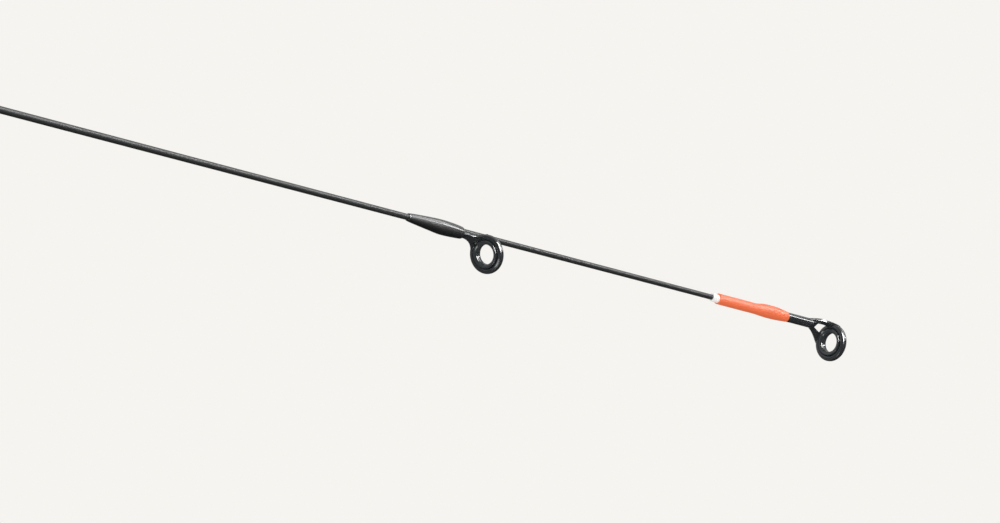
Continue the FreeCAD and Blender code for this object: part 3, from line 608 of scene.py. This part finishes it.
def makeTipFrame():
    # soldered to the tube's sides, past its end as a web, and down to the rim as two arms
    sizes = tipSizes
    centre = middleOf("tip_top_ring")
    half = armSizes["thickness"] / 2
    bm = lofted([legSection(centre.x + along, width, 0, half * 2, 0) for along, width in armSizes["web"]])
    for side in (1, -1):
        sections = []
        stations = curved(armSizes["stations"], armSizes["gapStations"])
        for along, innerAcross, innerLevel, outerAcross, outerLevel in stations:
            across = Vector((0, outerAcross - innerAcross, outerLevel - innerLevel)).normalized()
            up = Vector((0, -across.z, across.y)) * half
            inner, outer = Vector((0, innerAcross, innerLevel)), Vector((0, outerAcross, outerLevel))
            sections.append([(centre.x + along, side * corner.y, corner.z)
                             for corner in (inner + up, outer + up, outer - up, inner - up)])
        addTo(bm, lofted(sections))
    fuseFrame(bm, "tipTopFrame", "tip_top_frame", sizes, centre)


tubeSizes = dict(radius=1.03, rounding=0.22, innerStep=0.12, boreGap=0.01, endGap=0.02)


def makeTipTube():
    # drawn tube, closed in front and glued over the blank's tip
    start, end = spanOf("tip_top_tube")
    radius, rounding = tubeSizes["radius"], tubeSizes["rounding"]
    bore = blankSizes["tip"] + tubeSizes["boreGap"]
    inside = spanOf("rod_blank")[1] + tubeSizes["endGap"]
    bm = spun([(inside, 0), (inside, bore), (start, bore), (start, radius, tubeSizes["innerStep"]),
               (end, radius, rounding), (end, 0)])
    finishPiece(meshObject(bm, "tipTopTube"), "rod", "frame_steel", ["tip_top_tube"])


tipWrapSizes = dict(radius=1.15, bulge=1.4, rise=0.14, endRadius=1.08, bulgeRun=2.6, endRun=3.2,
                    evenRun=1.5, onset=1.01, shoulder=0.98, edge=0.1, edgeShare=0.3, gap=0.02)


def makeTipWrap():
    # even turns up to the tube, then a swell that lies a little more on top of it
    sizes = tipWrapSizes
    start, end = spanOf("tip_wrap")
    tubeStart = spanOf("tip_top_tube")[0]
    edge, run, radius = sizes["edge"], sizes["bulgeRun"], sizes["radius"]
    bulge, rise, endRadius = sizes["bulge"], sizes["rise"], sizes["endRadius"]
    step = edge * sizes["edgeShare"]
    swell = curved([
        (start + edge, radius, 0), (tubeStart - run * sizes["evenRun"], radius, 0),
        (tubeStart - run / 2, radius * sizes["onset"], 0),
        (tubeStart + run / 2, bulge * sizes["shoulder"], rise), (tubeStart + run, bulge, rise),
        (end - sizes["endRun"], bulge * sizes["shoulder"], rise), (end - edge, endRadius, 0),
    ], count=8)
    stations = [(start, blankSizes["tip"] + sizes["gap"], 0), (start, radius - edge, 0),
                (start + step, radius - step, 0), *swell,
                (end - step, endRadius - step, 0), (end, endRadius - edge, 0)]
    finishPiece(meshObject(stackedRounds(stations), "tipWrap"), "rod", "orange_wrap", ["tip_wrap"])


bandSizes = dict(radius=0.9, edge=0.2)


def makeTrimBand():
    start, end = spanOf("tip_trim_band")
    wire = [(start, blankSizes["tip"]), (start, bandSizes["radius"], bandSizes["edge"]),
            (end, bandSizes["radius"], bandSizes["edge"] / 2), (end, blankSizes["tip"])]
    finishPiece(meshObject(spun(wire, closed=True), "tipTrimBand"), "rod", "white_thread", ["tip_trim_band"])


makeTipTube()
makeTipFrame()
makeRing("tipTopRing", "tip_top_ring", tipSizes)
makeTipWrap()
makeTrimBand()
print("tip made")


# grips, caps and trim
boreRadius = blankSizes["butt"]


def makeTurned(name, node, slot, points, closed=True):
    # a piece turned on the rod's axis; a wire that isn't closed starts and ends on the axis
    finishPiece(meshObject(spun(points, closed, steps=128), name), "rod", slot, [node])


def makeFoam(name, node, stations, rounding):
    # a grip ground to a smooth outline, with rounded ends
    outside = curved(stations, count=8)
    outside[0] = (*outside[0], rounding)
    outside[-1] = (*outside[-1], rounding)
    bored = [(outside[0][0], boreRadius), *outside, (outside[-1][0], boreRadius)]
    makeTurned(name, node, "foam", bored)


rearGripSizes = dict(endRadius=12.1, waistRadius=11.7, waistShare=0.8, swellRadius=12.5, swellShare=0.38,
                     rounding=1.6)


def makeRearGrip():
    # ground with a palm swell a little behind the middle and a slight waist in front of it
    start, end = spanOf("rear_grip")
    sizes = rearGripSizes
    run = end - start
    makeFoam("rearGrip", "rear_grip", [
        (start, sizes["endRadius"]), (start + run * sizes["swellShare"], sizes["swellRadius"]),
        (start + run * sizes["waistShare"], sizes["waistRadius"]), (end, sizes["endRadius"]),
    ], sizes["rounding"])


foreGripSizes = dict(backRadius=11.5, straight=14, taper=0.15, waistRun=30, waistRadius=8.7, frontRadius=7.2,
                     rounding=1.6)


def makeForeGrip():
    # straight behind, then drawn in to a slim neck
    start, end = spanOf("fore_grip")
    sizes = foreGripSizes
    back = sizes["backRadius"]
    makeFoam("foreGrip", "fore_grip", [
        (start, back), (start + sizes["straight"], back - sizes["taper"]),
        (start + sizes["waistRun"], sizes["waistRadius"]), (end, sizes["frontRadius"]),
    ], sizes["rounding"])


capSizes = dict(radius=12.2, lipRadius=11.9, lipRun=0.3, plugLength=6, plugGap=0.02, plugRounding=0.3,
                rounding=1.6, dishRadius=8, dishDepth=0.8, dishEdge=0.3, dishRounding=0.4,
                lines=3, firstLine=0.8, lineDepth=0.25, lineWidth=0.4, lineSlope=0.1, lineRounding=0.05)


def makeButtCap():
    # rubber cap with three rings round it, a dished end, and its plug in the grip's bore
    back, front = spanOf("butt_cap")
    sizes = capSizes
    face = front - sizes["plugLength"]
    radius, plug = sizes["radius"], boreRadius - sizes["plugGap"]
    points = [(front, 0), (front, plug, sizes["plugRounding"]), (face, plug), (face, sizes["lipRadius"]),
              (face - sizes["lipRun"], radius)]
    low, width = radius - sizes["lineDepth"], sizes["lineWidth"]
    slope, soft = sizes["lineSlope"], sizes["lineRounding"]
    for n in range(sizes["lines"]):
        place = face - sizes["firstLine"] - n * width * 2
        points += [(place, radius, soft), (place - slope, low, soft), (place - width, low, soft),
                   (place - width - slope, radius, soft)]
    dish, deep = sizes["dishRadius"], sizes["dishDepth"]
    points += [(back, radius, sizes["rounding"]), (back, dish + deep, sizes["dishEdge"]),
               (back + deep, dish, sizes["dishRounding"]), (back + deep, 0)]
    makeTurned("buttCap", "butt_cap", "rubber", points, closed=False)


trimSizes = dict(chamfer=0.3, soft=0.08, groove=0.3, grooveDepth=0.18)


def makeTrimRing(name, node):
    # anodised spacer with a fine turned line round its middle
    start, end = spanOf(node)
    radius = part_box(node)[1].z / mm
    chamfer, soft, half = trimSizes["chamfer"], trimSizes["soft"], trimSizes["groove"] / 2
    middle = (start + end) / 2
    makeTurned(name, node, "trim", [
        (start, boreRadius), (start, radius - chamfer), (start + chamfer, radius, soft),
        (middle - half, radius), (middle, radius - trimSizes["grooveDepth"]), (middle + half, radius),
        (end - chamfer, radius, soft), (end, radius - chamfer), (end, boreRadius),
    ])


checkSizes = dict(backRadius=6.6, band=2, bandRounding=0.25, neckRadius=5.6, neckRounding=0.1,
                  coveRun=0.5, coveDepth=0.2, coveRounding=0.2, frontRadius=3.4, frontRounding=0.3)


def makeWindingCheck():
    # a band against the foam, a cove, and a cone down to the blank
    start, end = spanOf("winding_check")
    sizes = checkSizes
    band, back, neck = start + sizes["band"], sizes["backRadius"], sizes["neckRadius"]
    makeTurned("windingCheck", "winding_check", "trim", [
        (start, boreRadius), (start, back, sizes["bandRounding"]), (band, back, sizes["bandRounding"]),
        (band, neck, sizes["neckRounding"]),
        (band + sizes["coveRun"], neck - sizes["coveDepth"], sizes["coveRounding"]),
        (end, sizes["frontRadius"], sizes["frontRounding"]), (end, boreRadius),
    ])


makeRearGrip()
makeForeGrip()
makeButtCap()
makeTrimRing("rearTrimRing", "rear_trim_ring")
makeTrimRing("frontTrimRing", "front_trim_ring")
makeWindingCheck()
print("grips made")


# reel seat
seatSizes = dict(
    radius=9, bore=6, bedLevel=7.2, bedStep=0.2, hoodLength=20, hoodWall=3, hoodRounding=0.6, mouthWall=2,
    mouthRounding=0.5, fillet=0.3, frontRounding=0.4, lobeWidth=16, lobeRounding=4, lobeWall=2,
    pocketDepth=14, pocketWidth=12, pocketHeight=4.8, pocketRounding=0.8,
    threadLength=46, pitch=2, threadDepth=0.5, flank=0.7, root=0.2, slotWidth=3.2, slotDepth=0.9, edge=0.3,
)
over = 1            # how far a cutter runs past what it cuts
grooveOver = 0.2    # the same for the thread's groove


def boxed(start, end, halfWidth, low, high, edge=0, chosen=None):
    # a block, with its edges rounded: all of them, or those along X that lie low
    bm = bmesh.new()
    size = (end - start, halfWidth * 2, high - low)
    middle = (low + high) / 2
    place = Matrix.Translation(((start + end) / 2, 0, middle))
    bmesh.ops.create_cube(bm, size=1, matrix=place @ Matrix.Diagonal((*size, 1)))
    if edge:
        edges = bm.edges[:]
        if chosen == "low":
            edges = [e for e in edges if e.verts[0].co.z < middle and e.verts[1].co.z < middle
                     and abs(e.verts[0].co.x - e.verts[1].co.x) > size[0] / 2]
        bmesh.ops.bevel(bm, geom=edges, offset=edge, offset_type="OFFSET", affect="EDGES",
                        segments=6, profile=0.5, material=-1)
    return bm


def helixCutter(start, end):
    # the thread's groove: its section turned round the axis and carried along by the pitch
    sizes = seatSizes
    crest, low = sizes["radius"] + grooveOver, sizes["radius"] - sizes["threadDepth"]
    narrow = sizes["root"] / 2
    wide = sizes["flank"] + narrow + grooveOver
    bm = bmesh.new()
    corners = [(-wide, crest), (-narrow, low), (narrow, low), (wide, crest)]
    verts = [bm.verts.new((start + x, 0, z)) for x, z in corners]
    edges = [bm.edges.new((vert, verts[(n + 1) % 4])) for n, vert in enumerate(verts)]
    turns = (end - start) / sizes["pitch"]
    steps = 64   # to a turn
    bmesh.ops.spin(bm, geom=verts + edges, axis=(1, 0, 0), cent=(0, 0, 0),
                   dvec=(sizes["pitch"] / steps, 0, 0), angle=math.tau * turns, steps=round(steps * turns))
    bmesh.ops.holes_fill(bm, edges=[e for e in bm.edges if e.is_boundary], sides=0)
    bmesh.ops.recalc_face_normals(bm, faces=bm.faces[:])
    return bm


def lobe(start, end):
    # the hoods' lobe round the pocket for the reel's foot
    sizes = seatSizes
    level = sizes["bedLevel"] + sizes["pocketHeight"] + sizes["lobeWall"]
    return boxed(start, end, sizes["lobeWidth"] / 2, -level, 0, sizes["lobeRounding"], "low")


def footPocket(start, end):
    # the hollow that takes an end of the reel's foot
    sizes = seatSizes
    return boxed(start, end, sizes["pocketWidth"] / 2, -sizes["bedLevel"] - sizes["pocketHeight"],
                 -sizes["bedLevel"], sizes["pocketRounding"])


def makeSeatBarrel():
    # one moulding: cone and lobe of the fixed hood, barrel, thread, bed for the reel's foot, and key slot
    sizes = seatSizes
    start, end = spanOf("seat_barrel")
    radius, bed = sizes["radius"], sizes["bedLevel"]
    mouth, thread = start + sizes["hoodLength"], end - sizes["threadLength"]
    piece = meshObject(spun([
        (start, 0), (start, radius + sizes["hoodWall"], sizes["hoodRounding"]),
        (mouth, radius + sizes["mouthWall"], sizes["mouthRounding"]), (mouth, radius, sizes["fillet"]),
        (end, radius, sizes["frontRounding"]), (end, 0),
    ], steps=128), "seatBarrel")
    booleanWith(piece, helixCutter(thread + sizes["pitch"] / 2, end - sizes["pitch"] / 2), "DIFFERENCE")
    for back, level in ((mouth, -bed), (thread, -bed + sizes["bedStep"])):
        booleanWith(piece, boxed(back, end + over, radius * 2, -bed - radius, level), "DIFFERENCE")
    booleanWith(piece, lobe(start, mouth), "UNION")
    bore = spun([(start - over, 0), (start - over, sizes["bore"]), (end + over, sizes["bore"]),
                 (end + over, 0)], steps=96)
    booleanWith(piece, bore, "DIFFERENCE")
    booleanWith(piece, footPocket(mouth - sizes["pocketDepth"], mouth + over), "DIFFERENCE")
    booleanWith(piece, boxed(mouth + over, end + over, sizes["slotWidth"] / 2, radius - sizes["slotDepth"],
                             radius * 2, sizes["edge"]), "DIFFERENCE")
    finishPiece(piece, "rod", "seat", ["seat_barrel"], sharpAngle=30)


hoodSizes = dict(gap=0.3, wall=2, rounding=0.5, lobeInset=1, lines=3, frontLine=2.2, linePitch=1.6,
                 lineHalf=0.4, lineDepth=0.3, lineEdge=0.08, lineRounding=0.1, mouthFlare=1.2, mouthRun=0.3,
                 mouthRounding=0.1, keyWidth=2.6, keyHeight=0.9, keyInset=0.4, keyRoot=0.8, keyRounding=0.15)


def makeMovingHood():
    # sleeve with a key in the barrel's slot, grip lines round its front, and its lobe over the foot
    sizes = hoodSizes
    start, end = spanOf("moving_hood")
    bore = seatSizes["radius"] + sizes["gap"]
    outer = bore + sizes["wall"]
    half, edge = sizes["lineHalf"], sizes["lineEdge"]
    points = [(start, 0), (start, outer, sizes["rounding"])]
    for n in reversed(range(sizes["lines"])):
        line = end - sizes["frontLine"] - n * sizes["linePitch"]
        points += [(line - half, outer, edge), (line, outer - sizes["lineDepth"], sizes["lineRounding"]),
                   (line + half, outer, edge)]
    points += [(end, outer, sizes["rounding"]), (end, 0)]
    piece = meshObject(spun(points, steps=128), "movingHood")
    booleanWith(piece, lobe(start, end - sizes["lobeInset"]), "UNION")
    flared, run, soft = bore + sizes["mouthFlare"], sizes["mouthRun"], sizes["mouthRounding"]
    way = spun([(start - over, 0), (start - over, flared), (start + run, bore, soft),
                (end - run, bore, soft), (end + over, flared), (end + over, 0)], steps=96)
    booleanWith(piece, way, "DIFFERENCE")
    booleanWith(piece, footPocket(start - over, start + seatSizes["pocketDepth"]), "DIFFERENCE")
    inset = sizes["keyInset"]
    booleanWith(piece, boxed(start + inset, end - inset, sizes["keyWidth"] / 2, bore - sizes["keyHeight"],
                             bore + sizes["keyRoot"], sizes["keyRounding"]), "UNION")
    finishPiece(piece, "hood", "seat", ["moving_hood"], sharpAngle=30)


nutSizes = dict(outer=11.6, bore=9.08, flutes=18, fluteDepth=0.5, fluteShape=4, pointsPerFlute=16,
                chamfer=0.8, roundRun=0.3, roundShare=0.35, mouthFlare=1.5, mouthRun=0.5)


def makeLockNut():
    # knob nut: scalloped outline, drawn in at both ends, with chamfered mouths
    sizes = nutSizes
    start, end = spanOf("lock_nut")
    chamfer = sizes["chamfer"]
    run, drawn = chamfer * sizes["roundRun"], chamfer * sizes["roundShare"]
    count = sizes["flutes"] * sizes["pointsPerFlute"]
    sections = []
    for along, inset in ((start, chamfer), (start + run, drawn), (start + chamfer, 0),
                         (end - chamfer, 0), (end - run, drawn), (end, chamfer)):
        outline = []
        for n in range(count):
            turn = math.tau * n / count
            scallop = ((1 + math.cos(turn * sizes["flutes"])) / 2) ** sizes["fluteShape"]
            radius = min(sizes["outer"] - sizes["fluteDepth"] * scallop, sizes["outer"] - inset)
            outline.append((along, radius * math.sin(turn), radius * math.cos(turn)))
        sections.append(outline)
    piece = meshObject(lofted(sections), "lockNut")
    bore, flared, mouth = sizes["bore"], sizes["bore"] + sizes["mouthFlare"], sizes["mouthRun"]
    way = spun([(start - over, 0), (start - over, flared), (start + mouth, bore), (end - mouth, bore),
                (end + over, flared), (end + over, 0)], steps=96)
    booleanWith(piece, way, "DIFFERENCE")
    finishPiece(piece, "nut", "nut", ["lock_nut"], sharpAngle=30)


makeSeatBarrel()
makeMovingHood()
makeLockNut()
print("reel seat made")


# hook keeper
keeperSizes = dict(
    wire=1, foot=4, crown=5.7, bite=0.05, endInset=0.3, footLift=0.3, crownDrop=0.5,
    bend=(-0.6, 0.1, 0.9, 1.9),   # along from a foot's inner end, where the wire climbs to the bridge
    wrapLength=3.6, startWall=0.2, wrapWall=0.72, endWall=0.5, rise=0.42,
    # share of a wrap's length, how far under its full wall, share of its rise
    swell=((0.2, 0.2, 0.6), (0.5, 0, 1), (0.85, 0.03, 1)),
)


def makeHookKeeper():
    # a bent wire with two feet on the blank and a low bridge for the hook's bend
    sizes = keeperSizes
    start, end = spanOf("hook_keeper")
    half, inset = sizes["wire"] / 2, sizes["endInset"]
    foot, crown = boreRadius + half - sizes["bite"], sizes["crown"] - half
    climb = list(zip(sizes["bend"], (foot, foot + sizes["footLift"], crown - sizes["crownDrop"], crown)))
    back, front = start + sizes["foot"], end - sizes["foot"]
    route = [(start + inset, foot)]
    route += [(back + along, level) for along, level in climb]
    route += [(front - along, level) for along, level in reversed(climb)]
    route.append((end - inset, foot))
    curve = bpy.data.curves.new("keeperWire", "CURVE")
    curve.dimensions = "3D"
    curve.bevel_depth = half
    curve.bevel_resolution = 5
    curve.resolution_u = 8
    curve.use_fill_caps = True
    spline = curve.splines.new("NURBS")
    spline.points.add(len(route) - 1)
    for point, (along, level) in zip(spline.points, route):
        point.co = (along, 0, level, 1)
    spline.order_u = 3
    spline.use_endpoint_u = True
    drawn = bpy.data.objects.new("keeperWire", curve)
    bpy.context.scene.collection.objects.link(drawn)
    bm = bmesh.new()
    bm.from_mesh(bpy.data.meshes.new_from_object(drawn.evaluated_get(bpy.context.evaluated_depsgraph_get())))
    bpy.data.curves.remove(curve)
    bmesh.ops.remove_doubles(bm, verts=bm.verts[:], dist=mergeDistance)
    finishPiece(meshObject(bm, "hookKeeper"), "rod", "frame_steel", ["hook_keeper"])


def makeKeeperWraps():
    # thread and epoxy over both feet
    sizes = keeperSizes
    low, high = spanOf("hook_keeper_wrap")
    length, rise = sizes["wrapLength"], sizes["rise"]
    full = boreRadius + sizes["wrapWall"]
    bm = bmesh.new()
    for start, end in ((low, low + length), (high, high - length)):
        run = end - start
        stations = [(start, boreRadius + sizes["startWall"], 0)]
        stations += [(start + run * share, full - under, rise * lift)
                     for share, under, lift in sizes["swell"]]
        stations.append((end, boreRadius + sizes["endWall"], rise))
        addTo(bm, stackedRounds(curved(stations, count=5)))
    finishPiece(meshObject(bm, "hookKeeperWraps"), "rod", "black_wrap", ["hook_keeper_wrap"])


makeHookKeeper()
makeKeeperWraps()
print("keeper made")


# camera
cameraSetup = dict(
    azimuth=-53.68, elevation=-32.2, roll=21.35,   # degrees: from behind, below and to the right of the rod
    distance=1.2661, lens=225.1, aimOffset=(2.68 * mm, -1.454 * mm),
)


def placeCamera():
    setup = cameraSetup
    aim = middleOf("first_guide_ring") * mm
    azimuth, elevation, roll = (math.radians(setup[name]) for name in ("azimuth", "elevation", "roll"))
    back = Vector((math.sin(azimuth) * math.cos(elevation), -math.cos(azimuth) * math.cos(elevation),
                   math.sin(elevation)))
    level = Vector((0, 0, 1)).cross(back).normalized()
    upright = back.cross(level)
    right = level * math.cos(roll) - upright * math.sin(roll)
    above = level * math.sin(roll) + upright * math.cos(roll)
    across, up = setup["aimOffset"]
    place = aim + back * setup["distance"] + right * across + above * up
    camera = bpy.data.objects.new("camera", bpy.data.cameras.new("camera"))
    bpy.context.scene.collection.objects.link(camera)
    camera.data.lens = setup["lens"]
    camera.data.clip_start, camera.data.clip_end = 0.01, 100
    turn = Matrix((right, above, back)).transposed()
    camera.matrix_world = Matrix.Translation(place) @ turn.to_4x4()
    bpy.context.scene.camera = camera


placeCamera()
print("camera placed")


# world, floor and lights
studio = dict(backdrop="f6f4f0", tent="fffdfa", ceiling="eef1f2", skyGlow=0.55, skyDark=0.04,
              skyFrom=0.05, skyTo=0.75, fillGlow=0.95, floorBase="1c1c1c", floorGlow=0.98,
              floorDrop=1.1, floorSize=60)
softboxes = {
    "keySoftbox": dict(direction=(0.68, -0.73, 0.1), distance=2.0, size=(1.2, 0.2), power=11),
    "tallSoftbox": dict(direction=(0.68, -0.73, 0.35), distance=2.1, size=(0.5, 1.5), power=8),
    # only glossy surfaces see this one: the bright arcs on the rings
    "ringCard": dict(direction=(-0.05, -0.97, -0.05), distance=2.0, size=(0.9, 1.8), power=180,
                     lights=False),
    "leftSoftbox": dict(direction=(-0.75, 0.3, -0.45), distance=2.5, size=(0.5, 1.2), power=8),
}


def makeWorld():
    # the camera sees the pale backdrop, matt surfaces an even tent, and glossy ones a dark studio
    # with a lit ceiling
    world = bpy.data.worlds.new("studio")
    world.use_nodes = True
    tree = world.node_tree
    tree.nodes.clear()
    seen = addNode(tree, "ShaderNodeBackground", {"Color": hexColour(studio["backdrop"]), "Strength": 1.0})
    tent = addNode(tree, "ShaderNodeBackground",
                   {"Color": hexColour(studio["tent"]), "Strength": studio["fillGlow"]})
    place = addNode(tree, "ShaderNodeTexCoord")
    height = addNode(tree, "ShaderNodeSeparateXYZ", links={"Vector": place.outputs["Generated"]})
    glow = addNode(tree, "ShaderNodeMapRange", {
        "interpolation_type": "SMOOTHSTEP", "From Min": studio["skyFrom"], "From Max": studio["skyTo"],
        "To Min": studio["skyDark"], "To Max": studio["skyGlow"],
    }, {"Value": height.outputs["Z"]})
    mirrored = addNode(tree, "ShaderNodeBackground", {"Color": hexColour(studio["ceiling"])},
                       {"Strength": glow.outputs["Result"]})
    path = addNode(tree, "ShaderNodeLightPath")
    glossy = addNode(tree, "ShaderNodeMixShader", links={
        "Fac": path.outputs["Is Glossy Ray"],
        1: tent.outputs["Background"], 2: mirrored.outputs["Background"],
    })
    both = addNode(tree, "ShaderNodeMixShader", links={
        "Fac": path.outputs["Is Camera Ray"], 1: glossy.outputs["Shader"], 2: seen.outputs["Background"],
    })
    addNode(tree, "ShaderNodeOutputWorld", links={"Surface": both.outputs["Shader"]})
    bpy.context.scene.world = world


def makeFloor():
    # plain pale floor, far under the rod: even whatever the lamps do, and not mirrored in the black parts
    bm = bmesh.new()
    bmesh.ops.create_grid(bm, x_segments=1, y_segments=1, size=studio["floorSize"] / 2)
    bmesh.ops.translate(bm, vec=(0, 0, -studio["floorDrop"]), verts=bm.verts[:])
    mesh = bpy.data.meshes.new("floor")
    bm.to_mesh(mesh)
    bm.free()
    floor = bpy.data.objects.new("floor", mesh)
    bpy.context.scene.collection.objects.link(floor)
    mesh.materials.append(newMaterial("paleFloor", {
        "Base Color": hexColour(studio["floorBase"]), "Roughness": 0.9, "Specular IOR Level": 0.0,
        "Emission Color": hexColour(studio["backdrop"]), "Emission Strength": studio["floorGlow"],
    })[0])
    floor.visible_glossy = False
    floor.visible_diffuse = False


def addSoftbox(name, direction, distance, size, power, lights=True):
    # an area light that faces the first guide from a direction in the rod's own frame
    target = middleOf("first_guide_ring") * mm
    light = bpy.data.lights.new(name, "AREA")
    light.shape = "RECTANGLE"
    light.size, light.size_y = size
    light.energy = power
    lamp = bpy.data.objects.new(name, light)
    bpy.context.scene.collection.objects.link(lamp)
    away = Vector(direction).normalized()
    lamp.location = target + away * distance
    lamp.rotation_mode = "QUATERNION"
    lamp.rotation_quaternion = away.to_track_quat("Z", "Y")
    lamp.visible_diffuse = lights


makeWorld()
makeFloor()
for boxName, setup in softboxes.items():
    addSoftbox(boxName, **setup)
print("studio made")

bpy.context.scene.view_settings.view_transform = "Standard"
